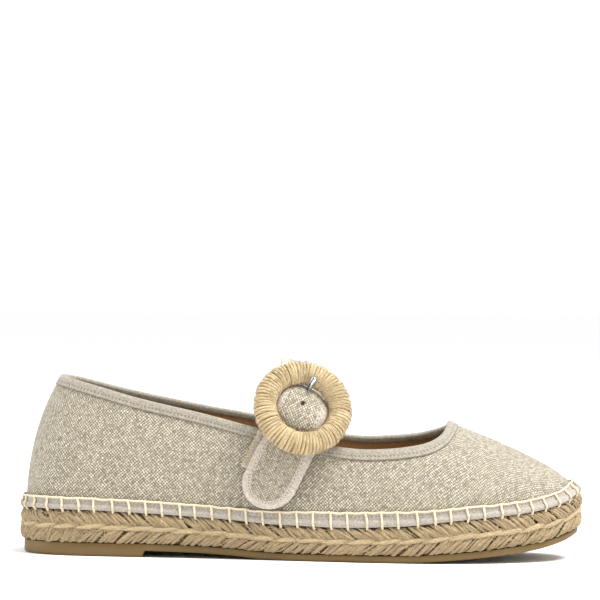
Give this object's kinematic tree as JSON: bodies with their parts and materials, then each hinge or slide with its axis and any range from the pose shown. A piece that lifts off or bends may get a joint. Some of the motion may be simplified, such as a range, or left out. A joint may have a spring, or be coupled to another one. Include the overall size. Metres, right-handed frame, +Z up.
{
  "type": "espadrille",
  "caption": "Women's right espadrille in natural linen with an instep strap, a jute-wrapped ring buckle and a braided jute sole.",
  "frame": {"origin": "on the floor under the middle of the whole shoe", "axes": "+X to the toe, +Y to the inner side of the foot, +Z up"},
  "size_m": [0.2604, 0.0936, 0.0918],
  "materials": {
    "linen": "matte",
    "binding": "matte",
    "tape": "matte",
    "jute": "matte",
    "wrap": "matte",
    "sock": "matte",
    "rubber": "satin",
    "steel": "polished"
  },
  "bodies": {
    "root": {"outsole": "rubber", "jute_sole": "jute", "insole": "sock", "upper": "linen", "collar_binding": "binding", "foot_tape": "tape", "strap": "linen", "strap_tab": "linen", "buckle_ring": "wrap", "buckle_bar": "steel", "buckle_prong": "steel"}
  },
  "joints": []
}
